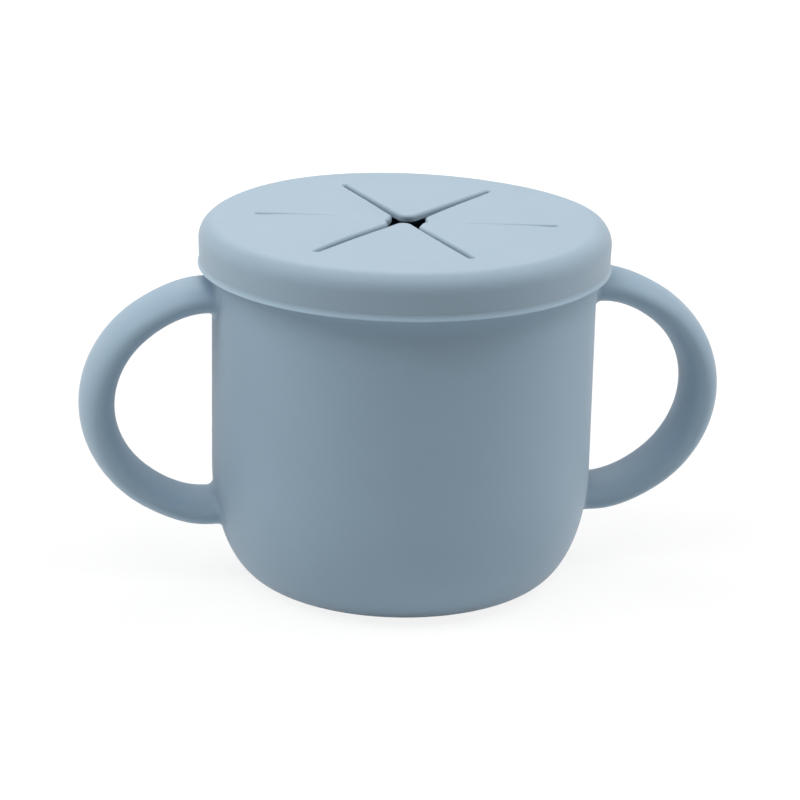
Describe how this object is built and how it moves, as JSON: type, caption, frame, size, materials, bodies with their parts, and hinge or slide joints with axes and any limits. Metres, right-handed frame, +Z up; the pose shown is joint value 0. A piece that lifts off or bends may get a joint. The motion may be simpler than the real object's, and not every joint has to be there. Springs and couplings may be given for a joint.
{
  "type": "toddler snack container",
  "caption": "Two-handled round soft snack cup with a cap lid whose slit flat top bends in for a hand.",
  "frame": {"origin": "centre of the flat base, on the surface that the cup stands on", "axes": "+Z up out of the lid; the two handles lie along X; Y runs from back to front across the cup"},
  "size_m": [0.1422, 0.0904, 0.0803],
  "materials": {
    "cup_silicone": "matte moulded silicone, pale blue-grey",
    "lid_silicone": "matte moulded silicone, pale blue-grey"
  },
  "bodies": {
    "cup": {"cup_body": "cup_silicone", "handle_left": "cup_silicone", "handle_right": "cup_silicone"},
    "lid": {"lid_rim": "lid_silicone"},
    "flap_1": {"flap_1": "lid_silicone"},
    "flap_2": {"flap_2": "lid_silicone"},
    "flap_3": {"flap_3": "lid_silicone"},
    "flap_4": {"flap_4": "lid_silicone"},
    "flap_5": {"flap_5": "lid_silicone"},
    "flap_6": {"flap_6": "lid_silicone"}
  },
  "joints": [
    {"name": "lid_lift", "type": "slide", "parent": "cup", "child": "lid", "axis": [0, 0, 1], "range_m": [0, 0.03]},
    {"name": "flap_1_bend", "type": "hinge", "parent": "lid", "child": "flap_1", "pos_m": [0.02367, 0.00647, 0.0795], "axis": [0.2639, -0.9646, 0], "range_deg": [-60, 70], "stiffness_Nm_per_rad": 0.004},
    {"name": "flap_2_bend", "type": "hinge", "parent": "lid", "child": "flap_2", "pos_m": [0.00623, 0.02373, 0.0795], "axis": [0.9673, -0.2538, 0], "range_deg": [-60, 70], "stiffness_Nm_per_rad": 0.004},
    {"name": "flap_3_bend", "type": "hinge", "parent": "lid", "child": "flap_3", "pos_m": [-0.01744, 0.01726, 0.0795], "axis": [0.7034, 0.7108, 0], "range_deg": [-60, 70], "stiffness_Nm_per_rad": 0.004},
    {"name": "flap_4_bend", "type": "hinge", "parent": "lid", "child": "flap_4", "pos_m": [-0.02367, -0.00647, 0.0795], "axis": [-0.2639, 0.9646, 0], "range_deg": [-60, 70], "stiffness_Nm_per_rad": 0.004},
    {"name": "flap_5_bend", "type": "hinge", "parent": "lid", "child": "flap_5", "pos_m": [-0.00623, -0.02373, 0.0795], "axis": [-0.9673, 0.2538, 0], "range_deg": [-60, 70], "stiffness_Nm_per_rad": 0.004},
    {"name": "flap_6_bend", "type": "hinge", "parent": "lid", "child": "flap_6", "pos_m": [0.01744, -0.01726, 0.0795], "axis": [-0.7034, -0.7108, 0], "range_deg": [-60, 70], "stiffness_Nm_per_rad": 0.004}
  ]
}
